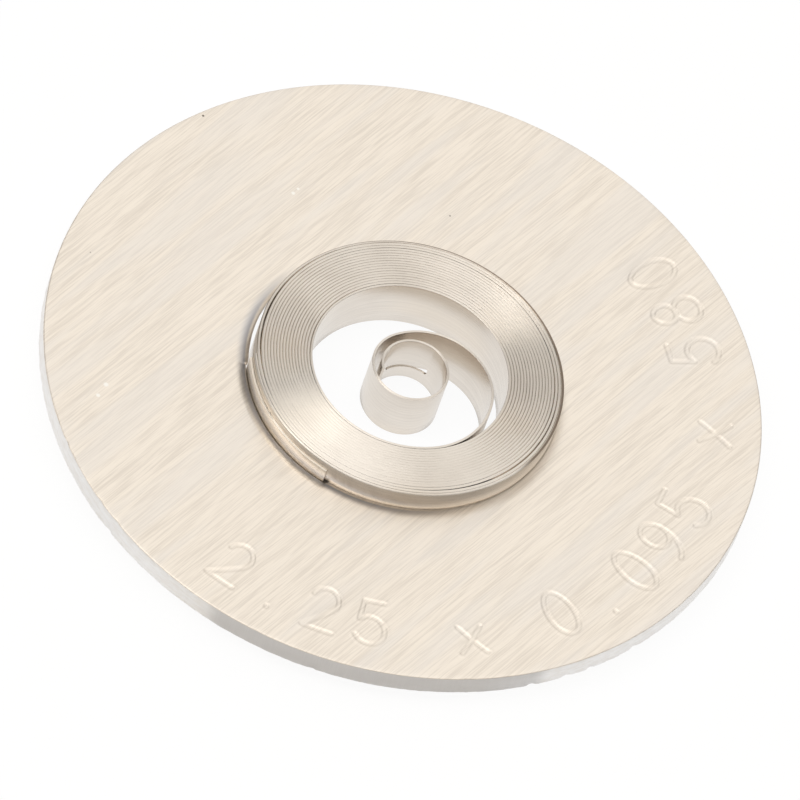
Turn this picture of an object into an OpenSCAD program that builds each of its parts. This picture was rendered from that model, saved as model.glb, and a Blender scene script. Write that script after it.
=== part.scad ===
// Watch mainspring, wound up and held in the hole of a loading washer, ready to be pushed into its barrel.
// Lengths are in millimetres and angles in degrees, counter-clockwise from +X seen from above.
// The strip stands on edge, and its lower edges rest on z = 0. From its outer end it winds counter-clockwise
// inwards: loose outer turns, tight turns, an arm across the open middle, and an eye for the arbor.

/* [Loading washer] */
// Diameter of the washer
washer_d = 28; // [22:0.5:40]
// Thickness of the sheet
washer_t = 0.85; // [0.6:0.05:1.2]
// Diameter of the hole, close to the bore of the barrel that the spring is made for
hole_d = 12.2; // [11.8:0.1:16]
// Radius of the rounded upper rim that punching leaves
rim_roll = 0.12; // [0.05:0.01:0.25]
// Radius of the rounded upper edge of the hole
hole_roll = 0.12; // [0.03:0.01:0.2]

/* [Strip] */
// Height of the strip
strip_h = 2.25; // [1.9:0.05:3]
// Thickness of the strip
strip_t = 0.095; // [0.08:0.005:0.11]
// How far the coil stands above the washer's upper face
coil_proud = 0.8; // [0.3:0.05:1]

/* [Coil] */
// Whole turns of the coil, loose ones included
coil_turns = 18; // [8:1:20]
// Loose turns at the outside
loose_turns = 3; // [1:1:5]
// Gap between tight turns
turn_gap = 0.02; // [0.016:0.001:0.03]
// Gap between loose turns
loose_gap = 0.05; // [0.03:0.005:0.06]
// Clearance of the coil and the bridle in the hole
seat_gap = 0.025; // [0.01:0.005:0.1]
// Direction of the strip's outer end
outer_end = 199; // [0:1:359]

/* [Arm] */
// Turn of the strip from its outer end's direction to where it leaves the coil
leave_turn = 101; // [30:1:170]
// How much tighter than the innermost turn the strip bends as it leaves the coil
lead_drop = 0.72; // [0.5:0.02:1]
// Turn of that first bend
lead_sweep = 63; // [30:1:80]

/* [Eye] */
// Radius of the arbor that the eye grips
eye_r = 1.2; // [0.9:0.02:1.3]
// Growth of the strip's radius from one bend of the eye to the next
eye_growth = 0.18; // [0.16:0.01:0.26]
// Place of the eye's centre from the coil's centre, along X
eye_x = 0.2; // [-0.2:0.01:0.3]
// Place of the eye's centre from the coil's centre, along Y
eye_y = 0.09; // [-0.2:0.01:0.3]
// Direction of the strip's inner end from the eye's centre
inner_end = 208; // [180:1:230]
// Turn of the bend that grips the arbor
grip_sweep = 150; // [130:1:170]
// Turn of the bend before it
middle_sweep = 178; // [150:1:190]

/* [Hook slot] */
// Length of the slot for the arbor's hook, along the strip
slot_l = 1.8; // [1:0.05:2]
// Height of the slot
slot_h = 0.4; // [0.2:0.01:0.5]
// Height of the slot's middle above the strip's lower edge
slot_z = 0.81; // [0.6:0.01:1.4]
// Direction of the slot's middle from the eye's centre
slot_dir = 107; // [105:1:150]

/* [Bridle] */
// Thickness of the bridle
bridle_t = 0.095; // [0.08:0.005:0.15]
// Height of the bridle
bridle_h = 1.65; // [1:0.05:1.85]
// Turn of the bridle, from the strip's outer end on
bridle_sweep = 56; // [30:1:90]
// Gap between the bridle and the strip, beside their weld
bridle_gap = 0.02; // [0.016:0.001:0.03]

/* [Hidden] */
$fn = 96;
steel = [0.80, 0.77, 0.73];
aluminium = [0.91, 0.89, 0.85];
// Steps in a rounded edge
roll_steps = 4;
// How far a cutter runs past the face that it cuts
overrun = 0.05;

washer_z = strip_h - coil_proud - washer_t;
tight_pitch = strip_t + turn_gap;
loose_pitch = strip_t + loose_gap;
// The bridle pushes the coil off the hole's centre, until both bear on the hole's wall
seat_shift = (bridle_gap + bridle_t) / 2;
seat_dir = outer_end + bridle_sweep / 2 + 180;
outer_r = hole_d / 2 - seat_gap - seat_shift - strip_t / 2;

// The strip is a chain of arcs. The chain starts at angle 0 and is turned to outer_end afterwards.
function unit(a) = [cos(a), sin(a)];
function turned(p, a) = [p.x * cos(a) - p.y * sin(a), p.x * sin(a) + p.y * cos(a)];
// Lengths and angles of the chain are rounded far below what can be made, so that neighbouring arcs
// end in exactly the same place
function fine(v) = round(v * 1e4) / 1e4;
function fine_angle(a) = round(a * 100) / 100;

// Radius of half turn k, counted from the outside
function coil_r(k) = outer_r - (min(k, 2 * loose_turns) * loose_pitch
                                + max(k - 2 * loose_turns, 0) * tight_pitch) / 2;
half_turns = 2 * coil_turns;
coil_arcs = [for (k = [0:half_turns]) [coil_r(k), k < half_turns ? 180 : leave_turn]];
lead_arc = [coil_r(half_turns) - lead_drop, lead_sweep];

// Places of a chain of arcs [radius, turn]: each is [centre, radius, start angle, turn].
// Neighbouring arcs share a tangent, so a new centre lies on the radius where the last arc ends.
function chain(arcs, c, a, i = 0) =
    let (arc = arcs[i], a_end = a + arc[1])
    concat([[c, arc[0], a, arc[1]]],
           i + 1 < len(arcs) ? chain(arcs, c + (arc[0] - arcs[i + 1][0]) * unit(a_end), a_end, i + 1) : []);

coil_places = chain(concat(coil_arcs, [lead_arc]), [0, 0], 0);
lead = coil_places[len(coil_places) - 1];
lead_end = lead[2] + lead[3];

// Bends of the eye from the inside out, with the centres that their shared tangents give
grip_r = eye_r + strip_t / 2;
middle_r = grip_r + eye_growth;
wrap_r = middle_r + eye_growth;
grip_start = inner_end - outer_end - grip_sweep;
middle_start = grip_start - middle_sweep;
grip_c = turned([eye_x, eye_y], -outer_end);
middle_c = grip_c - eye_growth * unit(grip_start);
wrap_c = middle_c - eye_growth * unit(middle_start);

// The arm is the one arc that is tangent to the end of the lead and to the eye's outer bend
to_wrap = wrap_c - lead[0];
room = lead[1] - wrap_r;
arm_shift = (room * room - to_wrap * to_wrap) / (2 * (room - to_wrap * unit(lead_end)));
arm_r = fine(lead[1] - arm_shift);
from_arm = to_wrap - arm_shift * unit(lead_end);
arm_sweep = fine_angle((atan2(from_arm.y, from_arm.x) - lead_end % 360 + 720) % 360);
wrap_sweep = fine_angle((middle_start - lead_end - arm_sweep) % 360 + 360);

inner_arcs = [lead_arc, [arm_r, arm_sweep], [wrap_r, wrap_sweep], [middle_r, middle_sweep], [grip_r, grip_sweep]];
inner_places = chain(inner_arcs, lead[0], lead[2] % 360);
grip = inner_places[len(inner_places) - 1];

module seat_coil() {
    translate(seat_shift * unit(seat_dir)) rotate(outer_end) children();
}

// A stretch of strip on edge along one arc of the chain
module strip_arc(place, t, h) {
    c = [fine(place[0].x), fine(place[0].y)];
    translate(c) translate(place[0] - c) rotate_extrude(angle = place[3], start = place[2])
        translate([place[1] - t / 2, 0]) square([t, h]);
}

module hook_slot() {
    slot_turn = slot_l / grip_r * 180 / PI;
    place = [grip[0], grip_r, slot_dir - outer_end - slot_turn / 2, slot_turn];
    translate([0, 0, slot_z - slot_h / 2]) strip_arc(place, strip_t + 2 * overrun, slot_h);
}

// Quarter round from angle a, about c
function quarter(c, r, a) = [for (i = [0:roll_steps]) c + r * unit(a - 90 * i / roll_steps)];

module loading_washer() {
    r_in = hole_d / 2;
    r_out = washer_d / 2;
    section = concat([[r_out, 0], [r_in, 0]],
                     quarter([r_in + hole_roll, washer_t - hole_roll], hole_roll, 180),
                     quarter([r_out - rim_roll, washer_t - rim_roll], rim_roll, 90));
    color(aluminium) translate([0, 0, washer_z]) rotate_extrude() polygon(section);
}

module mainspring() {
    coil = [for (i = [0:half_turns]) coil_places[i]];
    color(steel) seat_coil() difference() {
        for (place = concat(coil, inner_places)) strip_arc(place, strip_t, strip_h);
        hook_slot();
    }
}

module bridle() {
    r = outer_r + strip_t / 2 + bridle_gap + bridle_t / 2;
    color(steel) seat_coil() translate([0, 0, (strip_h - bridle_h) / 2])
        strip_arc([[0, 0], r, 0, bridle_sweep], bridle_t, bridle_h);
}

loading_washer();
mainspring();
bridle();
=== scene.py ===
"""A watch mainspring, wound up in the hole of its loading washer: meshes, finishes, light and camera.

Lengths are in millimetres and angles in degrees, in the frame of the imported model, until a mesh is made.
"""
from __future__ import annotations

import cmath
import logging
import math
import random
from dataclasses import dataclass, field
from enum import Enum
from typing import Any, Callable, Iterable, Sequence

import bpy
import numpy as np
from mathutils import Matrix, Vector


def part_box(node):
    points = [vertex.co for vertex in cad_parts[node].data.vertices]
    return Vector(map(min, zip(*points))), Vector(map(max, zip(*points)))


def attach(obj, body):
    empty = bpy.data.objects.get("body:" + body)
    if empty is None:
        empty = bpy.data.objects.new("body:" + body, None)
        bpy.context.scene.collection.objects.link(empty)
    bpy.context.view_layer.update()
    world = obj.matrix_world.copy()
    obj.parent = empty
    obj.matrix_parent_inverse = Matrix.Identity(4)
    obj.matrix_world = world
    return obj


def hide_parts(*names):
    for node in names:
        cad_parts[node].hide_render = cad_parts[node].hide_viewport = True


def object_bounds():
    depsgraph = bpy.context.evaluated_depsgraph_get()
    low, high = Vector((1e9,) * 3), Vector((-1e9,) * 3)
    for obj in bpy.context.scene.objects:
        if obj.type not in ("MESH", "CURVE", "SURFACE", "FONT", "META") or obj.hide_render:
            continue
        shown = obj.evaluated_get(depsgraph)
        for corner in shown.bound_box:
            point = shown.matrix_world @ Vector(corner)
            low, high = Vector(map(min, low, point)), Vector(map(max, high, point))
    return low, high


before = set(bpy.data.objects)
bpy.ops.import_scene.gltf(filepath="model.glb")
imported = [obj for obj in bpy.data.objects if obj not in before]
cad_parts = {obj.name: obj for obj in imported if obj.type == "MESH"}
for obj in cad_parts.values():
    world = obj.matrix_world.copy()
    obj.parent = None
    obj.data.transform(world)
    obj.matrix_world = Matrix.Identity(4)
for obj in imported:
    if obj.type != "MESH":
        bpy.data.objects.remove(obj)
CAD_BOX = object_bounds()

LOG = logging.getLogger("mainspring")
MM = 0.001
BODY = "root"

Colour = tuple[float, float, float]
Point = tuple[float, float, float]
Span = tuple[float, float]


class Slot(Enum):
    """Material slots of the record."""

    ALUMINIUM = "brushed_aluminium"
    STEEL = "spring_steel"


def unit(angle: float) -> complex:
    """Direction of an angle in degrees, as a point of the plane."""
    return cmath.rect(1.0, math.radians(angle))


def smooth(edge: float, value: np.ndarray) -> np.ndarray:
    """Eased rise from 0 at zero to 1 at the edge."""
    share = np.clip(value / edge, 0.0, 1.0)
    return share * share * (3.0 - 2.0 * share)


# Shader graphs


class Sock:
    """An output socket whose operators add Math nodes to its graph."""

    def __init__(self, graph: Graph, socket: bpy.types.NodeSocket) -> None:
        """Keep the graph and the Blender socket together."""
        self.graph = graph
        self.socket = socket

    def _math(self, operation: str, first: Any, second: Any) -> Sock:
        """Add one Math node.

        Args:
            operation: Blender's name of the operation.
            first: left operand, a socket or a number.
            second: right operand, a socket or a number.

        Returns:
            The node's result.
        """
        return self.graph.node("Math", {"operation": operation}, {0: first, 1: second})

    def __add__(self, other: Any) -> Sock:
        """Sum."""
        return self._math("ADD", self, other)

    def __radd__(self, other: Any) -> Sock:
        """Sum, with a number on the left."""
        return self._math("ADD", other, self)

    def __sub__(self, other: Any) -> Sock:
        """Difference."""
        return self._math("SUBTRACT", self, other)

    def __rsub__(self, other: Any) -> Sock:
        """Difference, with a number on the left."""
        return self._math("SUBTRACT", other, self)

    def __mul__(self, other: Any) -> Sock:
        """Product."""
        return self._math("MULTIPLY", self, other)

    def __rmul__(self, other: Any) -> Sock:
        """Product, with a number on the left."""
        return self._math("MULTIPLY", other, self)

    def __truediv__(self, other: Any) -> Sock:
        """Quotient."""
        return self._math("DIVIDE", self, other)

    def __rtruediv__(self, other: Any) -> Sock:
        """Quotient, with a number on the left."""
        return self._math("DIVIDE", other, self)

    def __abs__(self) -> Sock:
        """Size without sign."""
        return self._math("ABSOLUTE", self, 0.0)

    def most(self, other: Any) -> Sock:
        """The larger of two values."""
        return self._math("MAXIMUM", self, other)

    def ramp(self, low: float, high: float, start: float = 0.0, end: float = 1.0) -> Sock:
        """Eased rise between two levels of this value.

        Args:
            low: level at which the result is start.
            high: level at which the result is end.
            start: result at and below low.
            end: result at and above high.

        Returns:
            The eased value.
        """
        sockets = {"Value": self, 1: low, 2: high, 3: start, 4: end}
        return self.graph.node("MapRange", {"interpolation_type": "SMOOTHSTEP"}, sockets)


class Graph:
    """The node tree of a material or a world."""

    SPOT_CORE = 0.4

    def __init__(self, owner: bpy.types.Material | bpy.types.World) -> None:
        """Empty the owner's node tree."""
        owner.use_nodes = True
        self.tree = owner.node_tree
        self.tree.nodes.clear()

    def node(self, kind: str, settings: dict[str, Any] | None = None,
             sockets: dict[str | int, Any] | None = None, out: str | int = 0) -> Sock:
        """Add one node.

        Args:
            kind: Blender's type name without its ShaderNode prefix.
            settings: properties of the node, set before its sockets.
            sockets: values or links of its inputs, by name or number.
            out: the output to return, by name or number.

        Returns:
            The chosen output.
        """
        made = self.tree.nodes.new("ShaderNode" + kind)
        for name, value in (settings or {}).items():
            setattr(made, name, value)
        for key, value in (sockets or {}).items():
            if isinstance(value, Sock):
                self.tree.links.new(value.socket, made.inputs[key])
            elif isinstance(value, tuple) and made.inputs[key].type == "RGBA":
                made.inputs[key].default_value = (*value, 1.0)
            else:
                made.inputs[key].default_value = value
        return Sock(self, made.outputs[out] if len(made.outputs) else None)

    def mix(self, share: Any, first: Any, second: Any) -> Sock:
        """Blend two colours.

        Args:
            share: how much of the second colour shows.
            first: colour or socket at share 0.
            second: colour or socket at share 1.

        Returns:
            The blended colour.
        """
        sockets = {0: share, 6: first, 7: second}
        return self.node("Mix", {"data_type": "RGBA"}, sockets, out=2)

    def noise(self, place: Sock, scale: float, detail: float = 2.0, roughness: float = 0.5) -> Sock:
        """Noise value at a place.

        Args:
            place: coordinates.
            scale: cells per unit of the coordinates.
            detail: octaves.
            roughness: strength of each finer octave.

        Returns:
            A value about 0.5.
        """
        sockets = {"Vector": place, "Scale": scale, "Detail": detail, "Roughness": roughness}
        return self.node("TexNoise", {"noise_dimensions": "3D"}, sockets)

    def object_place(self) -> Sock:
        """Coordinates in the part's own frame, in metres."""
        return self.node("TexCoord", out="Object")

    def stretched(self, place: Sock, lengths: Point, turn: float = 0.0) -> Sock:
        """Coordinates counted in cells of a given size.

        Args:
            place: coordinates in metres.
            lengths: size of a cell along its own axes, in millimetres.
            turn: angle of the cell's first axis from +X.

        Returns:
            The counted coordinates.
        """
        sockets = {"Vector": place, "Rotation": (0.0, 0.0, math.radians(turn)),
                   "Scale": tuple(length * MM for length in lengths)}
        return self.node("Mapping", {"vector_type": "TEXTURE"}, sockets)

    def axis(self, vector: Sock, name: str) -> Sock:
        """One component of a vector."""
        return self.node("SeparateXYZ", None, {0: vector}, out=name)

    def _moved(self, place: Sock, centre: complex) -> Sock:
        """Coordinates counted from an upright axis."""
        axis_foot = (centre.real * MM, centre.imag * MM, 0.0)
        return self.node("VectorMath", {"operation": "SUBTRACT"}, {0: place, 1: axis_foot})

    def distance(self, place: Sock, centre: complex) -> Sock:
        """Distance from an upright axis.

        Args:
            place: coordinates in metres.
            centre: where the axis stands, in millimetres.

        Returns:
            The distance in metres.
        """
        moved = self._moved(place, centre)
        flat = self.node("VectorMath", {"operation": "MULTIPLY"}, {0: moved, 1: (1.0, 1.0, 0.0)})
        return self.node("VectorMath", {"operation": "LENGTH"}, {0: flat}, out="Value")

    def heading(self, place: Sock, centre: complex, side: float) -> Sock:
        """Cosine of the turn between a place's direction from an upright axis and a given direction.

        Args:
            place: coordinates in metres.
            centre: where the axis stands, in millimetres.
            side: the given direction.

        Returns:
            1 towards that side, -1 away from it.
        """
        moved = self._moved(place, centre)
        way = unit(side)
        sockets = {0: moved, 1: (way.real, way.imag, 0.0)}
        along_it = self.node("VectorMath", {"operation": "DOT_PRODUCT"}, sockets, out="Value")
        return along_it / self.distance(place, centre)

    def spot(self, place: Sock, centre: Point, radius: float) -> Sock:
        """Mask of a small round mark.

        Args:
            place: coordinates in metres.
            centre: middle of the mark, in millimetres.
            radius: radius of the mark, in millimetres.

        Returns:
            1 in its core, 0 outside.
        """
        sockets = {0: place, 1: tuple(c * MM for c in centre)}
        away = self.node("VectorMath", {"operation": "DISTANCE"}, sockets, out="Value")
        return away.ramp(radius * MM * self.SPOT_CORE, radius * MM, 1.0, 0.0)

    def bump(self, height: Sock, depth: float) -> Sock:
        """Normal of a surface with a fine relief.

        Args:
            height: relief from 0 to 1.
            depth: real height of the relief, in millimetres.

        Returns:
            The normal.
        """
        return self.node("Bump", None, {"Height": height, "Distance": depth * MM})

    def metal(self, **sockets: Any) -> Sock:
        """Metal surface from named sockets, with underscores for spaces."""
        named = {name.replace("_", " "): value for name, value in sockets.items()}
        return self.node("BsdfPrincipled", None, named)

    def surface(self, shader: Sock) -> None:
        """Lead a shader to the material's output."""
        self.node("OutputMaterial", None, {"Surface": shader})


# Finishes


@dataclass(frozen=True)
class BrushedAluminium:
    """Sheet aluminium, brushed one way, with a paler cut edge."""

    light: Colour = (0.879, 0.809, 0.720)
    dark: Colour = (0.743, 0.676, 0.596)
    cool: Colour = (0.794, 0.758, 0.720)
    edge: Colour = (0.935, 0.928, 0.920)
    # Painted shade: the cut rim turns greyer on its front side, standing in for the shadowed floor that it
    # reflects there.
    rim_shade: Colour = (0.720, 0.707, 0.697)
    rim_shade_side: float = 281.5
    rim_shade_edge: Span = (0.875, 0.905)
    # Painted shade: a cool grey band round the front-left of the hole, standing in for the coil's shadow
    # and its reflection in the face.
    hole_shade: Colour = (0.420, 0.432, 0.475)
    hole_shade_side: float = 225.0
    hole_shade_edge: Span = (0.1, 0.75)
    hole_shade_reach: Span = (6.12, 6.58)
    hole_shade_fade: Span = (0.02, 0.08)
    hole_shade_share: float = 0.9
    brush_turn: float = 65.5
    hair: Point = (1.6, 0.05, 1.0)
    hair_turn: float = -1.2
    hair_share: float = 0.65
    hair_depth: float = 0.006
    streak: Point = (3.0, 0.11, 1.0)
    streak_turn: float = 1.6
    shade_levels: Span = (0.34, 0.61)
    band: Point = (9.0, 0.9, 4.0)
    band_levels: Span = (0.45, 0.7)
    cool_share: float = 0.4
    grain: Point = (0.5, 0.5, 0.12)
    grain_levels: Span = (0.3, 0.75)
    grain_share: float = 0.25
    cut_tilt: Span = (0.35, 0.75)
    rim_from: Span = (9.0, 10.0)
    rim_tilt: Span = (0.6, 0.985)
    roughness: float = 0.40
    shade_roughness: float = 0.06
    edge_roughness: float = 0.26
    pressed_polish: float = 0.04
    speck: Colour = (0.160, 0.135, 0.110)
    specks: tuple[tuple[Point, float], ...] = (
        ((-10.66, 8.75, 1.45), 0.062), ((-12.85, 0.57, 1.45), 0.027), ((-0.48, 8.30, 1.45), 0.042),
    )
    nick: Colour = (0.930, 0.900, 0.850)
    nicks: tuple[tuple[Point, float], ...] = (
        ((-10.52, -5.20, 1.45), 0.13), ((-10.66, -5.82, 1.45), 0.11), ((-6.40, 6.70, 1.45), 0.10),
        ((-6.28, 6.98, 1.45), 0.08),
    )

    def material(self) -> bpy.types.Material:
        """Build the node material.

        Returns:
            The finished material.
        """
        made = bpy.data.materials.new("brushed_aluminium_finish")
        graph = Graph(made)
        place = graph.object_place()
        turn = self.brush_turn
        hair = graph.noise(graph.stretched(place, self.hair, turn + self.hair_turn), 1.0, 2.0, 0.55)
        streak = graph.noise(graph.stretched(place, self.streak, turn + self.streak_turn), 1.0, 2.0)
        band = graph.noise(graph.stretched(place, self.band, turn), 1.0, 1.0)
        up = abs(graph.axis(graph.node("NewGeometry", out="Normal"), "Z"))
        cut = up.ramp(*self.cut_tilt, 1.0, 0.0)
        radius = graph.distance(place, 0j)
        rim = radius.ramp(*(reach * MM for reach in self.rim_from))
        near, far = (reach * MM for reach in self.hole_shade_reach)
        pressed = radius.ramp(near, far, 1.0, 0.0)

        shade = (hair * self.hair_share + streak * (1.0 - self.hair_share)).ramp(*self.shade_levels)
        face = graph.mix(shade, self.dark, self.light)
        face = graph.mix(band.ramp(*self.band_levels, 0.0, self.cool_share), face, self.cool)
        grain = graph.noise(graph.stretched(place, self.grain), 1.0, 3.0, 0.6)
        side = graph.mix(grain.ramp(*self.grain_levels, 0.0, self.grain_share), self.edge, self.dark)
        # Painted shade on the front of the rim, for the reflection of the shadowed floor.
        rim_shade = graph.heading(place, 0j, self.rim_shade_side).ramp(*self.rim_shade_edge)
        side = graph.mix(rim_shade, side, self.rim_shade)
        colour = graph.mix(cut, face, side)
        # Painted shade round the front-left of the hole, for the coil's shadow and its reflection.
        hole_shade_mask = pressed * graph.heading(place, 0j, self.hole_shade_side).ramp(*self.hole_shade_edge)
        before, behind = (fade * MM for fade in self.hole_shade_fade)
        hole_shade_mask = hole_shade_mask * radius.ramp(near - before, near + behind)
        colour = graph.mix(hole_shade_mask * self.hole_shade_share, colour, self.hole_shade)
        for centre, reach in self.nicks:
            colour = graph.mix(graph.spot(place, centre, reach), colour, self.nick)
        for centre, reach in self.specks:
            colour = graph.mix(graph.spot(place, centre, reach), colour, self.speck)

        roughness = self.roughness + shade * self.shade_roughness - pressed * self.pressed_polish
        roughness = roughness + up.ramp(*self.rim_tilt, self.edge_roughness, 0.0) * rim
        normal = graph.bump(hair * (1.0 - cut) * (1.0 - pressed) + grain * cut * rim, self.hair_depth)
        graph.surface(graph.metal(Base_Color=colour, Metallic=1.0, Roughness=roughness, Normal=normal))
        return made


@dataclass(frozen=True)
class SpringSteel:
    """Rolled and polished spring strip, with faint rolling lines along it."""

    name: str = "spring_steel_finish"
    light: Colour = (0.878, 0.819, 0.746)
    dark: Colour = (0.765, 0.705, 0.636)
    straw: Colour = (0.878, 0.780, 0.658)
    straw_cloud: Point = (5.0, 5.0, 2.0)
    straw_levels: Span = (0.5, 0.75)
    straw_share: float = 0.5
    roll_line: Point = (9.0, 9.0, 0.05)
    line_share: float = 0.6
    line_depth: float = 0.0006
    cloud: Point = (1.6, 1.6, 1.2)
    shade_levels: Span = (0.35, 0.65)
    roughness: float = 0.15
    cloud_roughness: float = 0.08
    edge_roughness: float = 0.23
    edge_tilt: Span = (0.5, 0.9)
    # Painted shade: the strip's upright faces are blended towards a darker colour, so they read darker than
    # its upper edges.
    wall: Colour = (0.600, 0.560, 0.515)
    wall_shade_tilt: Span = (0.3, 0.8)
    wall_shade_share: float = 0.22
    grain_pull: float = 0.92
    grain_turn: float = 0.25
    seat: complex = 0.0392 + 0.0421j
    # A dark brown line along the outermost turn's upper corner, on the far side of the coil.
    dark_stripe: Colour = (0.300, 0.240, 0.190)
    dark_stripe_side: float = 85.0
    dark_stripe_end: Span = (-0.45, -0.25)
    dark_stripe_r: float = 5.947
    dark_stripe_growth: float = 0.0191
    dark_stripe_width: Span = (0.038, 0.014)
    dark_stripe_height: Span = (2.17, 2.20)

    def _dark_striped(self, graph: Graph, place: Sock) -> Sock:
        """Mask of the dark line along the outermost turn's upper corner, on one side of the coil.

        Args:
            graph: node tree of the material.
            place: coordinates in metres.

        Returns:
            1 on the line, 0 elsewhere.
        """
        ahead = graph.heading(place, self.seat, self.dark_stripe_side)
        aside = graph.heading(place, self.seat, self.dark_stripe_side + 90.0)
        turn = graph.node("Math", {"operation": "ARCTAN2"}, {0: aside, 1: ahead})
        past = graph.distance(place, self.seat) / MM + turn * self.dark_stripe_growth - self.dark_stripe_r
        outer, inner = self.dark_stripe_width
        high = (graph.axis(place, "Z") / MM).ramp(*self.dark_stripe_height)
        return past.ramp(-outer, -inner) * ahead.ramp(*self.dark_stripe_end) * high

    def material(self) -> bpy.types.Material:
        """Build the node material.

        Returns:
            The finished material.
        """
        made = bpy.data.materials.new(self.name)
        graph = Graph(made)
        place = graph.object_place()
        line = graph.noise(graph.stretched(place, self.roll_line), 1.0, 3.0, 0.6)
        cloud = graph.noise(graph.stretched(place, self.cloud), 1.0, 2.0)
        warm = graph.noise(graph.stretched(place, self.straw_cloud), 1.0, 1.0)
        shade = (line * self.line_share + cloud * (1.0 - self.line_share)).ramp(*self.shade_levels)
        colour = graph.mix(shade, self.dark, self.light)
        colour = graph.mix(warm.ramp(*self.straw_levels, 0.0, self.straw_share), colour, self.straw)
        # Darker along the outermost turn's upper corner, on the far side of the coil.
        colour = graph.mix(self._dark_striped(graph, place), colour, self.dark_stripe)
        up = abs(graph.axis(graph.node("NewGeometry", out="Normal"), "Z"))
        # Painted shade on the upright faces.
        colour = graph.mix(up.ramp(*self.wall_shade_tilt, self.wall_shade_share, 0.0), colour, self.wall)
        roughness = self.roughness + cloud * self.cloud_roughness
        roughness = roughness + up.ramp(*self.edge_tilt, 0.0, self.edge_roughness)
        normal = graph.bump(line, self.line_depth)
        graph.surface(graph.metal(Base_Color=colour, Metallic=1.0, Roughness=roughness, Normal=normal,
                                  Anisotropic=self.grain_pull, Anisotropic_Rotation=self.grain_turn))
        return made


# Painted reflection: the bridle's steel is a lighter, warmer copy of the spring steel, standing in for the
# golden reflection of the washer's face in its wall.
SHEEN_BRIDLE_STEEL = SpringSteel(name="bridle_steel_painted_sheen", light=(0.97, 0.91, 0.83), dark=(0.92, 0.85, 0.76),
                           straw=(0.97, 0.87, 0.73), roughness=0.18, wall_shade_share=0.0)


@dataclass(frozen=True)
class PaleFloor:
    """White studio floor that keeps a faint shadow."""

    colour: Colour = (0.93, 0.93, 0.925)
    glow: float = 0.9
    white: float = 1.02
    front: Span = (-13.4, -12.6)
    front_slant: float = 0.1
    front_glow: float = 0.05

    def material(self) -> bpy.types.Material:
        """Build the node material.

        Returns:
            The finished material.
        """
        made = bpy.data.materials.new("pale_floor_finish")
        graph = Graph(made)
        seen = graph.node("LightPath", out="Is Camera Ray")
        seen = seen.most(graph.node("LightPath", out="Is Transmission Ray"))
        near, far = (edge * MM for edge in self.front)
        place = graph.object_place()
        inwards = graph.axis(place, "Y") - graph.axis(place, "X") * self.front_slant
        lit = inwards.ramp(near, far, self.front_glow, 1.0)
        seen = seen.most(graph.node("LightPath", out="Is Glossy Ray") * lit)
        paint = graph.node("BsdfDiffuse", None, {"Color": self.colour})
        white = graph.node("Emission", None, {"Color": (1.0, 1.0, 1.0), "Strength": self.white})
        graph.surface(graph.node("MixShader", None, {0: seen * self.glow, 1: paint, 2: white}))
        return made


# Meshes


class Draft:
    """Points and faces of a mesh that is being made, in millimetres."""

    def __init__(self) -> None:
        """Start with nothing."""
        self.points: list[Point] = []
        self.faces: list[tuple[int, ...]] = []

    def add(self, points: Iterable[Sequence[float]]) -> list[int]:
        """Add points.

        Args:
            points: places in millimetres.

        Returns:
            Their numbers.
        """
        start = len(self.points)
        self.points.extend(tuple(map(float, point)) for point in points)
        return list(range(start, len(self.points)))

    def join(self, ring: Sequence[int], following: Sequence[int], open_sides: Sequence[int] = ()) -> None:
        """Join two closed rings that have as many points.

        Args:
            ring: numbers of the first ring's points.
            following: numbers of the next ring's points.
            open_sides: places in the ring where the sides that stay open start.
        """
        count = len(ring)
        for i in range(count):
            if i not in open_sides:
                j = (i + 1) % count
                self.faces.append((ring[i], following[i], following[j], ring[j]))

    def cap(self, first: Sequence[int], last: Sequence[int]) -> None:
        """Close the first and the last ring of a strip."""
        self.faces.append(tuple(first))
        self.faces.append(tuple(reversed(last)))

    def piece(self, name: str, material: bpy.types.Material, crease: float) -> bpy.types.Object:
        """Make the object, smooth but for its creases, and let it stand for its CAD node.

        Args:
            name: name of the CAD node that it replaces.
            material: its finish.
            crease: edges that turn more than this stay sharp.

        Returns:
            The object.
        """
        mesh = bpy.data.meshes.new(name + "_dressed")
        mesh.from_pydata([Vector(point) * MM for point in self.points], [], self.faces)
        mesh.validate()
        mesh.shade_smooth()
        mesh.set_sharp_from_angle(angle=math.radians(crease))
        mesh.materials.append(material)
        made = bpy.data.objects.new(name + "_dressed", mesh)
        bpy.context.scene.collection.objects.link(made)
        weighted = made.modifiers.new("face_normals", "WEIGHTED_NORMAL")
        weighted.keep_sharp = True
        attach(made, BODY)
        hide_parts(name)
        LOG.info("%s: %d points, %d faces", made.name, len(mesh.vertices), len(mesh.polygons))
        return made


# Spring


@dataclass(frozen=True)
class Arc:
    """One bend of the strip's middle line."""

    centre: complex
    radius: float
    start: float
    turn: float

    @property
    def end(self) -> float:
        """Angle where the bend ends."""
        return self.start + self.turn


@dataclass(frozen=True)
class Station:
    """A place on the strip's middle line."""

    place: complex
    outward: complex
    angle: float

    def moved(self, offset: float) -> Station:
        """The same station, further out by an offset."""
        return Station(self.place + offset * self.outward, self.outward, self.angle)

    def point(self, offset: float, height: float) -> Point:
        """Point of the strip at an offset outwards and a height."""
        spot = self.place + offset * self.outward
        return (spot.real, spot.imag, height)


def chain(bends: Sequence[tuple[float, float]], centre: complex, angle: float) -> list[Arc]:
    """Lay bends end to end with shared tangents.

    Args:
        bends: radius and turn of each bend.
        centre: centre of the first bend.
        angle: angle where the first bend starts.

    Returns:
        The placed bends.
    """
    arcs = []
    for number, (radius, turn) in enumerate(bends):
        arcs.append(Arc(centre, radius, angle, turn))
        angle += turn
        if number + 1 < len(bends):
            centre += (radius - bends[number + 1][0]) * unit(angle)
    return arcs


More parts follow.
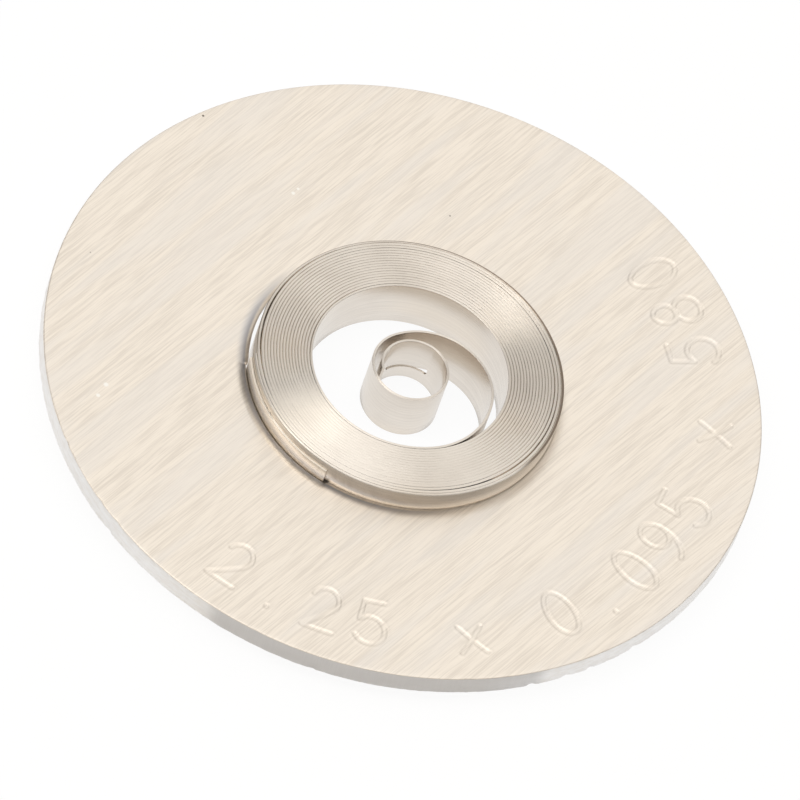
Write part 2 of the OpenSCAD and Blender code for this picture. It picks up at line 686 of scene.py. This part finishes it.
def along(arc: Arc, step: float, first: bool = True) -> list[Station]:
    """Stations along a bend.

    Args:
        arc: the bend.
        step: widest turn between stations.
        first: whether the bend's own start is one of them.

    Returns:
        The stations, the bend's end included.
    """
    count = max(1, math.ceil(arc.turn / step))
    angles = [arc.start + arc.turn * i / count for i in range(0 if first else 1, count + 1)]
    return [Station(arc.centre + arc.radius * unit(a), unit(a), a) for a in angles]


@dataclass
class StripSection:
    """Cross-section of a strip on edge, with rounded corners.

    WINDOW gives the places in its outline where a slot through it starts and ends on the two wide faces.
    """

    WINDOW = (1, 2, 9, 10)

    thickness: float
    corner: float
    lean: float = 0.0

    def ring(self, low: float, high: float, inner_low: float,
             inner_high: float) -> list[tuple[float, float]]:
        """Outline of the section, counter-clockwise from the foot of its outer face.

        Args:
            low: height of the lower edge.
            high: height of the upper edge.
            inner_low: lower of two extra heights on each wide face.
            inner_high: upper of them.

        Returns:
            Offset and height of each of its 16 points.
        """
        half = self.thickness / 2
        round_in = self.corner * (1.0 - math.sqrt(0.5))
        right = [(half, low + self.corner), (half, inner_low), (half, inner_high),
                 (half, high - self.corner), (half - round_in, high - round_in), (half - self.corner, high)]
        left = [(-offset, height) for offset, height in reversed(right)]
        right[4:] = [(offset, height - 2.0 * self.lean * offset) for offset, height in right[4:]]
        foot = [(-half + round_in, low + round_in), (-half + self.corner, low),
                (half - self.corner, low), (half - round_in, low + round_in)]
        return right + left + foot


@dataclass
class Mainspring:
    """The spring: one strip that is coil, arm and eye."""

    steel: bpy.types.Material
    bridle_steel: bpy.types.Material
    strip_t: float = 0.095
    wound_gap: float = 0.002
    corner: float = 0.012
    worn_corner: float = 0.023
    worn_side: float = 175.0
    outer_corner: float = 0.045
    turn_gap: float = 0.02
    loose_gap: float = 0.05
    seat_gap: float = 0.025
    hole_r: float = 6.1
    coil_turns: int = 18
    loose_turns: int = 3
    outer_end: float = 199.0
    leave_turn: float = 101.0
    lead_drop: float = 0.72
    lead_sweep: float = 63.0
    eye_r: float = 1.2
    eye_growth: float = 0.18
    eye_place: complex = 0.2 + 0.09j
    inner_end: float = 208.0
    grip_sweep: float = 150.0
    middle_sweep: float = 178.0
    slot_l: float = 1.8
    slot_h: float = 0.4
    slot_z: float = 0.81
    slot_dir: float = 107.0
    slot_corner: float = 0.09
    bridle_t: float = 0.095
    bridle_sweep: float = 56.0
    bridle_gap: float = 0.02
    bridle_margin: float = 1.5
    bridle_step: float = 1.0
    coil_step: float = 3.0
    eye_step: float = 4.0
    slot_steps: int = 28
    crease: float = 60.0
    edge_play: float = 0.008
    foot_play: float = 0.5
    play_rates: Span = (0.25, 0.9)
    play_waves: int = 4
    edge_lean: float = 0.12
    slack_turns: int = 2
    slack_close: float = 90.0
    slack_lobes: tuple[tuple[float, float, float], ...] = ((325.0, 34.0, 0.55), (182.0, 30.0, 0.5))
    seed: int = 7
    arcs: list[Arc] = field(default_factory=list)

    def __post_init__(self) -> None:
        """Work out the seat of the coil and its bends."""
        low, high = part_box("mainspring")
        self.low = low.z / MM
        self.high = high.z / MM
        shift = (self.bridle_gap + self.bridle_t) / 2
        self.seat = shift * unit(self.outer_end + self.bridle_sweep / 2 + 180.0)
        self.outer_r = self.hole_r - self.seat_gap - shift - self.strip_t / 2
        self.arcs = self._bends()

    def _coil_radius(self, half_turn: int) -> float:
        """Radius of a half turn, counted from the outside."""
        loose = min(half_turn, 2 * self.loose_turns)
        pitch_sum = loose * (self.strip_t + self.loose_gap)
        pitch_sum += (half_turn - loose) * (self.strip_t + self.turn_gap)
        return self.outer_r - pitch_sum / 2

    def _bends(self) -> list[Arc]:
        """Chain of bends from the outer end to the inner end.

        Returns:
            The bends, the last of them the one that grips the arbor.
        """
        count = 2 * self.coil_turns
        coil = [(self._coil_radius(k), 180.0) for k in range(count)]
        coil.append((self._coil_radius(count), self.leave_turn))
        coil.append((coil[-1][0] - self.lead_drop, self.lead_sweep))
        placed = chain(coil, self.seat, self.outer_end)
        lead = placed[-1]

        grip_r = self.eye_r + self.strip_t / 2
        middle_r = grip_r + self.eye_growth
        wrap_r = middle_r + self.eye_growth
        grip_start = self.inner_end - self.grip_sweep
        middle_start = grip_start - self.middle_sweep
        middle_c = self.seat + self.eye_place - self.eye_growth * unit(grip_start)
        wrap_c = middle_c - self.eye_growth * unit(middle_start)

        to_wrap = wrap_c - lead.centre
        leave = unit(lead.end)
        room = lead.radius - wrap_r
        ahead = to_wrap.real * leave.real + to_wrap.imag * leave.imag
        shift = (room * room - abs(to_wrap) ** 2) / (2.0 * (room - ahead))
        meet = math.degrees(cmath.phase(to_wrap - shift * leave))
        arm_sweep = (meet - lead.end) % 360.0
        wrap_sweep = (middle_start - lead.end - arm_sweep) % 360.0
        inner = [(lead.radius, lead.turn), (lead.radius - shift, arm_sweep), (wrap_r, wrap_sweep),
                 (middle_r, self.middle_sweep), (grip_r, self.grip_sweep)]
        return placed[:-1] + chain(inner, lead.centre, lead.start)

    @property
    def _drop(self) -> float:
        """How much smaller the coil's last radius is than its first."""
        return self.outer_r - self._coil_radius(2 * self.coil_turns)

    def _opened(self, angle: float) -> float:
        """How far the slack of the loose turns is gathered in one gap, in a direction."""
        opened = 0.0
        for centre, width, share in self.slack_lobes:
            away = (angle - centre + 180.0) % 360.0 - 180.0
            opened += share * math.exp(-(away / width) ** 2)
        return opened

    def _packing(self, angle: float) -> float:
        """How far a place of the coil lies outside its evenly loosened bend.

        The slack of the loose turns shows as one open gap in some directions and is shared out in others.

        Args:
            angle: angle along the chain, from the strip's outer end on.

        Returns:
            Offset outwards.
        """
        tight = self.strip_t + self.turn_gap
        turns = min((angle - self.outer_end) / 360.0, float(self.coil_turns))
        slack = self._drop - tight * self.coil_turns
        within = math.floor((angle - self.slack_close) / 360.0) >= self.slack_turns
        even = -self._drop * turns / self.coil_turns
        parted = -tight * turns - (slack if within else 0.0)
        loose = min(turns, float(self.loose_turns))
        plain = -loose * (self.strip_t + self.loose_gap) - (turns - loose) * tight
        return even + (parted - even) * self._opened(angle) - plain

    def _thickness(self, angle: float) -> float:
        """Thickness that the strip shows: wound turns all but touch, arm and eye keep their own.

        Args:
            angle: angle along the chain, from the strip's outer end on.

        Returns:
            Thickness of the strip there.
        """
        even = self._drop / self.coil_turns
        opened = self._opened(angle)
        wound = even * (1.0 - opened) + (self.strip_t + self.turn_gap) * opened - self.wound_gap
        left = (self.outer_end + 360.0 * self.coil_turns - angle) / 180.0
        return self.strip_t + (wound - self.strip_t) * min(1.0, max(0.0, left))

    def _corner(self, angle: float) -> float:
        """Rounding of the strip's edges, more on two sides of the coil and most on the outermost turn.

        Args:
            angle: angle along the chain, from the strip's outer end on.

        Returns:
            Radius of the rounding there.
        """
        if angle < self.outer_end + 360.0:
            return self.outer_corner
        if angle > self.outer_end + 360.0 * self.coil_turns:
            return self.corner
        return self.corner + self.worn_corner * unit(angle - self.worn_side).real ** 4

    def clearance(self, angles: np.ndarray) -> np.ndarray:
        """Free width between the spring and the hole, none along the bridle.

        Args:
            angles: directions from the hole's middle.

        Returns:
            The width in each direction.
        """
        away = np.radians(angles) - cmath.phase(self.seat)
        gap = self.seat_gap + abs(self.seat) * (1.0 - np.cos(away))
        half = self.bridle_sweep / 2
        aside = np.abs((angles - self.outer_end - half + 180.0) % 360.0 - 180.0)
        swollen = (self._thickness(self.outer_end) - self.strip_t) / 2
        return np.where(aside < half + self.bridle_margin, 0.0, gap - swollen)

    def _slot_half(self, share: float) -> float:
        """Half height of the hook slot at a share of its length from -1 to 1."""
        past = max(0.0, abs(share) * self.slot_l / 2 - (self.slot_l / 2 - self.slot_corner))
        return self.slot_h / 2 - self.slot_corner + math.sqrt(max(0.0, self.slot_corner ** 2 - past ** 2))

    def _edge_drop(self) -> Callable[[float], float]:
        """How far the upper edge lies below the strip's full height, along the coil.

        Returns:
            A function of the angle along the chain.
        """
        draw = random.Random(self.seed)
        waves = [(draw.uniform(*self.play_rates), draw.uniform(0.0, math.tau))
                 for _ in range(self.play_waves)]

        def drop(angle: float) -> float:
            """Drop at an angle, never negative."""
            turn = math.radians(angle)
            level = sum(math.sin(rate * turn + phase) for rate, phase in waves) / len(waves)
            return self.edge_play * (0.5 + 0.5 * level)

        return drop

    def _stations(self) -> tuple[list[Station], int, int]:
        """Stations of the whole strip.

        Returns:
            The stations and the numbers of the slot's first and last ones.
        """
        stations = along(self.arcs[0], self.coil_step)
        for arc in self.arcs[1:-1]:
            step = self.coil_step if arc.radius > self.eye_r * 2 else self.eye_step
            stations += along(arc, step, first=False)
        coil_end = self.outer_end + 360.0 * self.coil_turns
        stations = [s.moved(self._packing(s.angle)) if s.angle < coil_end else s for s in stations]
        grip = self.arcs[-1]
        slot_turn = math.degrees(self.slot_l / grip.radius)
        middle = grip.start + (self.slot_dir - grip.start) % 360.0
        begin = middle - slot_turn / 2
        before = Arc(grip.centre, grip.radius, grip.start, begin - grip.start)
        slot = Arc(grip.centre, grip.radius, begin, slot_turn)
        after = Arc(grip.centre, grip.radius, slot.end, grip.end - slot.end)
        stations += along(before, self.eye_step, first=False)
        first_slot = len(stations) - 1
        stations += along(slot, slot_turn / self.slot_steps, first=False)
        last_slot = len(stations) - 1
        stations += along(after, self.eye_step, first=False)
        return stations, first_slot, last_slot

    def build(self) -> bpy.types.Object:
        """Make the dressed spring.

        Returns:
            The object.
        """
        draft = Draft()
        stations, first_slot, last_slot = self._stations()
        drop = self._edge_drop()
        rings = []
        for number, station in enumerate(stations):
            share = 2.0 * (number - first_slot) / (last_slot - first_slot) - 1.0
            half = self._slot_half(min(1.0, max(-1.0, share)))
            fall = drop(station.angle)
            corner = self._corner(station.angle)
            section = StripSection(self._thickness(station.angle), corner, self.edge_lean)
            outline = section.ring(self.low + fall * self.foot_play, self.high - fall,
                                   self.slot_z - half, self.slot_z + half)
            rings.append(draft.add(station.point(*pair) for pair in outline))
        out_low, out_high, in_high, in_low = StripSection.WINDOW
        for number, (ring, following) in enumerate(zip(rings, rings[1:])):
            in_slot = first_slot <= number < last_slot
            draft.join(ring, following, (out_low, in_high) if in_slot else ())
            if in_slot:
                draft.faces.append((ring[out_low], ring[in_low], following[in_low], following[out_low]))
                draft.faces.append((ring[in_high], ring[out_high], following[out_high], following[in_high]))
        start, end = rings[first_slot], rings[last_slot]
        draft.faces.append((start[out_low], start[out_high], start[in_high], start[in_low]))
        draft.faces.append((end[out_high], end[out_low], end[in_low], end[in_high]))
        draft.cap(rings[0], rings[-1])
        return draft.piece("mainspring", self.steel, self.crease)

    def build_bridle(self) -> bpy.types.Object:
        """Make the dressed bridle beside the strip's outer end.

        Returns:
            The object.
        """
        draft = Draft()
        low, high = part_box("bridle")
        radius = self.outer_r + self.strip_t / 2 + self.bridle_gap + self.bridle_t / 2
        arc = Arc(self.seat, radius, self.outer_end, self.bridle_sweep)
        section = StripSection(self.bridle_t, self.corner)
        middle = (low.z + high.z) / 2 / MM
        outline = section.ring(low.z / MM, high.z / MM, middle - self.slot_h, middle + self.slot_h)
        stations = along(arc, self.bridle_step)
        rings = [draft.add(station.point(*pair) for pair in outline) for station in stations]
        for ring, following in zip(rings, rings[1:]):
            draft.join(ring, following)
        draft.cap(rings[0], rings[-1])
        return draft.piece("bridle", self.bridle_steel, self.crease)


# Washer


def bow(centre: complex, width: float, height: float, start: float, end: float,
        steps: int = 14) -> list[complex]:
    """Points of an elliptic bow.

    Args:
        centre: middle of the ellipse.
        width: half width.
        height: half height.
        start: angle of the first point.
        end: angle of the last point.
        steps: number of points.

    Returns:
        The points.
    """
    angles = np.radians(np.linspace(start, end, steps))
    return [centre + complex(width * math.cos(a), height * math.sin(a)) for a in angles]


@dataclass(frozen=True)
class SizeStamp:
    """The strip's height, thickness and length, struck into the face with their heads to the hole."""

    words: str = "2.25 x 0.095 x 580"
    radius: float = 11.78
    height: float = 2.0
    first: float = 252.0
    pitch: float = 9.3
    reach: float = 0.6
    middle: float = 0.3
    half_width: float = 0.115
    flank: float = 0.6
    depth: float = 0.024
    lip: float = 0.009
    lip_away: float = 0.16
    lip_width: float = 0.05

    @property
    def sector(self) -> tuple[float, float]:
        """Angles between which the characters stand."""
        return (self.first - self.pitch, self.first + self.pitch * len(self.words))

    @property
    def band(self) -> tuple[float, float]:
        """Radii between which the characters stand."""
        reach = self.height / 2 + self.lip_away + 2.0 * self.lip_width
        return (self.radius - reach, self.radius + reach)

    @staticmethod
    def _strokes(character: str) -> list[list[complex]]:
        """Pen lines of a character, one unit high and standing on zero.

        Args:
            character: a digit, a point, a multiplication cross or a blank.

        Returns:
            The lines' points.
        """
        lines: dict[str, list[list[complex]]] = {
            "0": [bow(0.3 + 0.5j, 0.27, 0.5, 0.0, 360.0, 26)],
            "2": [bow(0.3 + 0.72j, 0.27, 0.28, 165.0, -40.0) + [0.03 + 0j, 0.57 + 0j]],
            "5": [[0.52 + 1j, 0.1 + 1j, 0.06 + 0.55j] + bow(0.28 + 0.32j, 0.29, 0.32, 130.0, -150.0)],
            "8": [bow(0.3 + 0.76j, 0.22, 0.24, 0.0, 360.0, 20),
                  bow(0.3 + 0.27j, 0.27, 0.27, 0.0, 360.0, 22)],
            "9": [bow(0.3 + 0.7j, 0.26, 0.3, 0.0, 360.0, 22),
                  bow(0.06 + 0.7j, 0.5, 0.7, 0.0, -75.0, 8)],
            "x": [[0.07 + 0j, 0.53 + 0.6j], [0.07 + 0.6j, 0.53 + 0j]],
            ".": [[0.3 + 0.02j, 0.3 + 0.05j]],
        }
        return lines.get(character, [])

    def relief(self, radii: np.ndarray, angles: np.ndarray) -> np.ndarray:
        """Height of the struck face above the plain one.

        Args:
            radii: radius of each row.
            angles: angle of each column.

        Returns:
            One height for each row and column.
        """
        away = np.full((len(radii), len(angles)), np.inf)
        rise = (self.radius - radii[:, None]) / self.height + 0.5
        for number, character in enumerate(self.words):
            aside = angles - self.first - self.pitch * number
            near = np.flatnonzero(np.abs(aside) < self.pitch * self.reach)
            across = np.radians(aside[near])[None, :] * self.radius / self.height + self.middle
            spot = across + 1j * rise
            for line in self._strokes(character):
                for start, end in zip(line, line[1:]):
                    step = end - start
                    share = np.clip(((spot - start) * step.conjugate()).real / abs(step) ** 2, 0.0, 1.0)
                    gap = np.abs(spot - start - share * step) * self.height
                    away[:, near] = np.minimum(away[:, near], gap)
        bottom = (1.0 - self.flank) * self.half_width
        groove = 1.0 - smooth(self.flank * self.half_width, away - bottom)
        return self.lip * np.exp(-((away - self.lip_away) / self.lip_width) ** 2) - self.depth * groove


@dataclass
class Ring:
    """Points of one circle of the washer."""

    angles: np.ndarray
    radius: np.ndarray
    height: np.ndarray

    @classmethod
    def level(cls, angles: np.ndarray, radius: Any, height: Any) -> Ring:
        """A circle whose radius and height are numbers or arrays."""
        flat = np.ones(len(angles))
        return cls(angles, radius * flat, height * flat)

    def points(self) -> np.ndarray:
        """Places of its points."""
        spots = self.radius * np.exp(1j * np.radians(self.angles))
        return np.column_stack([spots.real, spots.imag, self.height])


@dataclass
class LoadingWasher:
    """The punched disc that holds the spring wound up."""

    aluminium: bpy.types.Material
    clearance: Callable[[np.ndarray], np.ndarray]
    stamp: SizeStamp = field(default_factory=SizeStamp)
    hole_r: float = 6.1
    rim_roll: float = 0.06
    roll_steps: int = 4
    face_rows: int = 6
    columns: int = 720
    band_step: float = 0.2
    band_row: float = 0.045
    bare_step: float = 2.0
    bare_gap: float = 1.0
    lip_in: float = 0.115
    lip_free: float = 0.01
    lip_depth: float = 0.30
    lip_soften: int = 7
    lip_cells: int = 60
    lip_least: float = 0.9
    roll_room: float = 0.5
    hole_roll: tuple[tuple[float, float], ...] = (
        (0.0, 0.20), (0.02, 0.165), (0.06, 0.13), (0.115, 0.10), (0.18, 0.07), (0.26, 0.04), (0.36, 0.014),
        (0.48, 0.0),
    )
    deep_side: float = 228.0
    deep_width: float = 62.0
    deep_least: float = 0.4
    rim_room: float = 0.15
    land_share: float = 0.4
    land_cells: tuple[int, int] = (300, 90)
    land_coarse: float = 0.4
    land_dent: float = 0.4
    ragged_h: float = 0.08
    fracture: float = 0.035
    tear_h: float = 0.1
    tear_cells: int = 360
    tear_least: float = 0.35
    foot_h: float = 0.16
    foot_cells: int = 240
    foot_least: float = 0.3
    foot_room: float = 0.4
    chip_h: float = 0.1
    burr: float = 0.02
    burr_cells: int = 480
    top_dents: tuple[tuple[float, float, float], ...] = (
        (217.0, 0.5, 0.03), (219.5, 0.4, 0.02), (229.0, 0.5, 0.03), (233.5, 0.6, 0.035), (262.0, 0.4, 0.02),
        (296.0, 0.4, 0.02), (338.0, 0.4, 0.02),
    )
    foot_dents: tuple[tuple[float, float, float], ...] = (
        (232.5, 0.6, 0.06), (272.0, 0.4, 0.06), (307.5, 0.6, 0.08), (313.5, 0.8, 0.08), (318.0, 0.5, 0.08),
        (326.5, 0.6, 0.06),
    )
    seed: int = 11
    crease: float = 50.0

    def __post_init__(self) -> None:
        """Take the outer sizes from the frame and lay out the columns."""
        low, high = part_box("loading_washer")
        self.low = low.z / MM
        self.high = high.z / MM
        self.outer_r = min(high.x - low.x, high.y - low.y) / 2 / MM
        start, end = self.stamp.sector
        self.plain = start + np.arange(self.columns) * 360.0 / self.columns
        self.fine = np.concatenate([np.arange(start, end, self.band_step),
                                    np.arange(end + self.bare_gap, start + 360.0 - self.bare_gap,
                                              self.bare_step)])

    def _rough(self, scale: int, least: float = 0.0) -> np.ndarray:
        """Seeded ragged values round the rim.

        Args:
            scale: how many ragged cells go round.
            least: smallest value that may come up.

        Returns:
            One value up to 1 for each plain column.
        """
        draw = np.random.default_rng(self.seed + scale)
        cells = draw.random(scale)
        spots = np.arange(self.columns) * scale / self.columns
        whole = spots.astype(int)
        part = smooth(1.0, spots - whole)
        value = cells[whole % scale] * (1 - part) + cells[(whole + 1) % scale] * part
        return least + (1.0 - least) * value

    def _hole_rings(self) -> list[Ring]:
        """Rings from the hole's foot up over its pressed-in, rolled edge.

        Returns:
            The rings.
        """
        free = np.clip(self.clearance(self.plain) - self.lip_free, 0.0, self.lip_in)
        beside = self.lip_soften
        soften = np.hanning(2 * beside + 1)
        wide = np.concatenate([free[-beside:], free, free[:beside]])
        inwards = np.minimum(np.convolve(wide, soften / soften.sum(), "valid"), free)
        edge = self.hole_r - inwards * self._rough(self.lip_cells, self.lip_least)
        rings = [Ring.level(self.plain, self.hole_r, self.low),
                 Ring.level(self.plain, self.hole_r, self.high - self.lip_depth)]
        aside = (self.plain - self.deep_side + 180.0) % 360.0 - 180.0
        deep = self.deep_least + (1.0 - self.deep_least) * np.exp(-(aside / self.deep_width) ** 2)
        for outwards, fall in self.hole_roll:
            rings.append(Ring.level(self.plain, edge + outwards, self.high - fall * deep))
        return rings

    def _face_rings(self) -> list[Ring]:
        """Rings of the face, close together where it is stamped.

        Returns:
            The rings.
        """
        inner, outer = self.stamp.band
        plain_rows = np.linspace(self.hole_r + self.roll_room, inner, self.face_rows + 1)[:-1]
        rings = [Ring.level(self.plain, radius, self.high) for radius in plain_rows]
        radii = np.linspace(inner, outer, math.ceil((outer - inner) / self.band_row))
        for radius, relief in zip(radii, self.stamp.relief(radii, self.fine)):
            rings.append(Ring.level(self.fine, radius, self.high + relief))
        return rings

    def _rim_rings(self) -> list[Ring]:
        """Rings from the face's edge down the punched rim to its foot.

        Returns:
            The rings.
        """
        dent = self._dented(self.top_dents)
        torn_foot = self._dented(self.foot_dents)
        inner = self.outer_r - self.rim_roll
        rings = [Ring.level(self.plain, inner - self.rim_room, self.high)]
        for i in range(self.roll_steps + 1):
            turn = unit(90.0 - 90.0 * i / self.roll_steps)
            radius = inner + self.rim_roll * turn.real - dent * (1 + turn.real) / 2
            height = self.high - self.rim_roll * (1 - turn.imag) - dent * turn.real / 2
            rings.append(Ring.level(self.plain, radius, height))
        wall_top = self.high - self.rim_roll
        land = wall_top - (wall_top - self.low) * self.land_share
        fine, coarse = (self._rough(cells) for cells in self.land_cells)
        ragged = (fine + (coarse - fine) * self.land_coarse - 0.5) * self.ragged_h
        torn = self.fracture * self._rough(self.tear_cells, self.tear_least)
        foot = self.fracture * self._rough(self.foot_cells, self.foot_least)
        burr = self.burr * self._rough(self.burr_cells)
        levels = [
            (dent * self.land_dent, land + ragged),
            (torn, land - self.tear_h + ragged),
            (foot, self.low + self.foot_h),
            (foot + torn_foot, self.low + self.chip_h),
            (burr + torn_foot, self.low),
            (self.foot_room, self.low),
        ]
        for inwards, height in levels:
            rings.append(Ring.level(self.plain, self.outer_r - inwards, height))
        return rings

    def _dented(self, dents: Sequence[tuple[float, float, float]]) -> np.ndarray:
        """Depth of small dents round the rim.

        Args:
            dents: angle, half width and depth of each dent.

        Returns:
            One depth for each plain column.
        """
        depths = np.zeros(self.columns)
        for angle, width, depth in dents:
            away = (self.plain - angle + 180.0) % 360.0 - 180.0
            depths = np.maximum(depths, depth * np.exp(-(away / width) ** 2))
        return depths

    @staticmethod
    def _bridge(draft: Draft, first: tuple[Ring, list[int]], second: tuple[Ring, list[int]]) -> None:
        """Join two rings that start at the same angle.

        Args:
            draft: mesh that gets the faces.
            first: inner ring and the numbers of its points.
            second: next ring and the numbers of its points.
        """
        (ring, ids), (other, other_ids) = first, second
        count, other_count = len(ids), len(other_ids)
        if count == other_count:
            draft.join(ids, other_ids)
            return
        ahead = np.append(ring.angles, ring.angles[0] + 360.0)
        other_ahead = np.append(other.angles, other.angles[0] + 360.0)
        i = j = 0
        while i < count or j < other_count:
            here, there = ids[i % count], other_ids[j % other_count]
            if i == count or (j < other_count and other_ahead[j + 1] <= ahead[i + 1]):
                j += 1
                draft.faces.append((here, there, other_ids[j % other_count]))
            else:
                i += 1
                draft.faces.append((here, there, ids[i % count]))

    def build(self) -> bpy.types.Object:
        """Make the dressed washer.

        Returns:
            The object.
        """
        draft = Draft()
        rings = self._hole_rings() + self._face_rings() + self._rim_rings()
        placed = [(ring, draft.add(ring.points())) for ring in rings]
        for first, second in zip(placed, placed[1:] + placed[:1]):
            self._bridge(draft, first, second)
        return draft.piece("loading_washer", self.aluminium, self.crease)


# Stage


@dataclass(frozen=True)
class Softbox:
    """A square area lamp that faces the part."""

    name: str
    azimuth: float
    elevation: float
    distance: float
    size: float
    radiance: float
    colour: Colour = (1.0, 1.0, 1.0)

    def place(self) -> bpy.types.Object:
        """Make the lamp.

        Returns:
            The lamp's object.
        """
        lamp = bpy.data.lights.new(self.name, "AREA")
        lamp.shape = "SQUARE"
        lamp.size = self.size
        lamp.energy = self.radiance * math.pi * self.size ** 2
        lamp.color = self.colour
        made = bpy.data.objects.new(self.name, lamp)
        flat = unit(self.azimuth) * math.cos(math.radians(self.elevation))
        away = Vector((flat.real, flat.imag, math.sin(math.radians(self.elevation))))
        made.location = away * self.distance
        made.rotation_euler = away.to_track_quat("Z", "Y").to_euler()
        made.visible_camera = False
        bpy.context.scene.collection.objects.link(made)
        return made


@dataclass
class Studio:
    """Floor, lamps and the light tent round them."""

    floor: PaleFloor = field(default_factory=PaleFloor)
    floor_size: float = 4.0
    floor_gap: float = 0.01
    tent_light: Colour = (1.0, 0.985, 0.96)
    tent_dark: Colour = (0.065, 0.063, 0.061)
    top: Point = (0.30, 0.05, 0.953)
    top_light: Colour = (1.20, 1.17, 1.12)
    top_edge: Span = (0.88, 0.99)
    tent_axis: float = 98.0
    tent_strength: float = 1.06
    left_edge: Span = (0.40, 0.47)
    right_edge: Span = (-1.15, -0.58)
    right_low_edge: Span = (-0.62, -0.32)
    right_low_top: Span = (0.5, 0.66)
    right_share: float = 0.85
    side_foot: Span = (0.12, 0.36)
    front: Point = (0.163, -0.608, 0.777)
    front_dark: Colour = (0.42, 0.385, 0.35)
    front_edge: Span = (0.78, 0.93)
    low_dark: Colour = (0.16, 0.16, 0.17)
    low_edge: Span = (-0.15, 0.2)
    low_foot: Span = (0.16, 0.28)
    low_top: Span = (0.6, 0.7)
    back_dark: Colour = (0.45, 0.42, 0.39)
    back_edge: Span = (0.3, 0.6)
    back_top: Span = (0.1, 0.26)
    lamps: tuple[Softbox, ...] = (
        Softbox("key_softbox", 232.0, 76.0, 0.8, 0.52, 1.15),
        Softbox("left_softbox", 200.0, 50.0, 0.8, 0.40, 2.7, (1.0, 0.95, 0.87)),
    )

    def build(self) -> None:
        """Make floor, tent and lamps."""
        half = self.floor_size / 2
        low = CAD_BOX[0].z - self.floor_gap * MM
        corners = [(-half, -half, low), (half, -half, low), (half, half, low), (-half, half, low)]
        mesh = bpy.data.meshes.new("floor")
        mesh.from_pydata(corners, [], [(0, 1, 2, 3)])
        mesh.materials.append(self.floor.material())
        made = bpy.data.objects.new("floor", mesh)
        bpy.context.scene.collection.objects.link(made)
        for lamp in self.lamps:
            lamp.place()
        self._tent()
        LOG.info("studio: floor, tent and %d lamps", len(self.lamps))

    @staticmethod
    def _towards(graph: Graph, view: Sock, way: Point) -> Sock:
        """Cosine of the angle between a direction of the tent and a given one."""
        return graph.node("VectorMath", {"operation": "DOT_PRODUCT"}, {0: view, 1: way}, out="Value")

    def _tent(self) -> None:
        """A pale arch along one axis, darker at both sides and in front, white where the camera sees it."""
        world = bpy.data.worlds.new("light_tent")
        bpy.context.scene.world = world
        graph = Graph(world)
        view = graph.node("TexCoord", out="Generated")
        axis = unit(self.tent_axis)
        height = graph.axis(view, "Z")
        across = graph.axis(view, "Y") * axis.real - graph.axis(view, "X") * axis.imag
        right_low = across.ramp(*self.right_low_edge, 1.0, 0.0) * height.ramp(*self.right_low_top, 1.0, 0.0)
        right = across.ramp(*self.right_edge, 1.0, 0.0).most(right_low) * self.right_share
        side = (across.ramp(*self.left_edge) + right) * height.ramp(*self.side_foot)
        overhead = self._towards(graph, view, self.top).ramp(*self.top_edge)
        colour = graph.mix(overhead, self.tent_light, self.top_light)
        colour = graph.mix(side, colour, self.tent_dark)
        away = graph.axis(view, "Y")
        low = height.ramp(*self.low_foot) * height.ramp(*self.low_top, 1.0, 0.0)
        colour = graph.mix(away.ramp(*self.low_edge, 1.0, 0.0) * low, colour, self.low_dark)
        back = away.ramp(*self.back_edge) * height.ramp(*self.back_top, 1.0, 0.0)
        colour = graph.mix(back, colour, self.back_dark)
        ahead = self._towards(graph, view, self.front).ramp(*self.front_edge)
        colour = graph.mix(ahead, colour, self.front_dark)
        seen = graph.node("LightPath", out="Is Camera Ray")
        tent = graph.node("Background", None, {"Color": colour, "Strength": self.tent_strength})
        white = graph.node("Background", None, {"Color": (1.0, 1.0, 1.0), "Strength": 1.0})
        shader = graph.node("MixShader", None, {0: seen, 1: tent, 2: white})
        graph.node("OutputWorld", None, {"Surface": shader})


@dataclass
class Viewpoint:
    """Long-lens camera above the part, rolled about its own axis."""

    target: Point = (0.144, -1.006, 1.45)
    elevation: float = 51.35
    roll: float = 20.1
    frame_width: float = 30.4056
    distance: float = 1.0
    sensor: float = 36.0
    clip: Span = (0.1, 20.0)

    def build(self) -> bpy.types.Object:
        """Make the scene's camera.

        Returns:
            The camera.
        """
        lens = bpy.data.cameras.new("camera")
        lens.sensor_width = self.sensor
        lens.lens = self.sensor * self.distance / (self.frame_width * MM)
        lens.clip_start, lens.clip_end = self.clip
        made = bpy.data.objects.new("camera", lens)
        rise = math.radians(self.elevation)
        across = Vector((1.0, 0.0, 0.0))
        above = Vector((0.0, math.sin(rise), math.cos(rise)))
        back = Vector((0.0, -math.cos(rise), math.sin(rise)))
        tilt = unit(self.roll)
        right = across * tilt.real + above * tilt.imag
        up = above * tilt.real - across * tilt.imag
        turn = Matrix((right, up, back)).transposed().to_4x4()
        made.matrix_world = Matrix.Translation(Vector(self.target) * MM + back * self.distance) @ turn
        bpy.context.scene.collection.objects.link(made)
        bpy.context.scene.camera = made
        return made


def main() -> None:
    """Build the part, its studio and its camera."""
    logging.basicConfig(level=logging.INFO, format="%(name)s: %(message)s")
    bpy.context.scene.view_settings.view_transform = "Standard"
    Viewpoint().build()
    Studio().build()
    spring = Mainspring(SpringSteel().material(), SHEEN_BRIDLE_STEEL.material())
    LoadingWasher(BrushedAluminium().material(), spring.clearance).build()
    spring.build()
    spring.build_bridle()


if __name__ == "__main__":
    main()
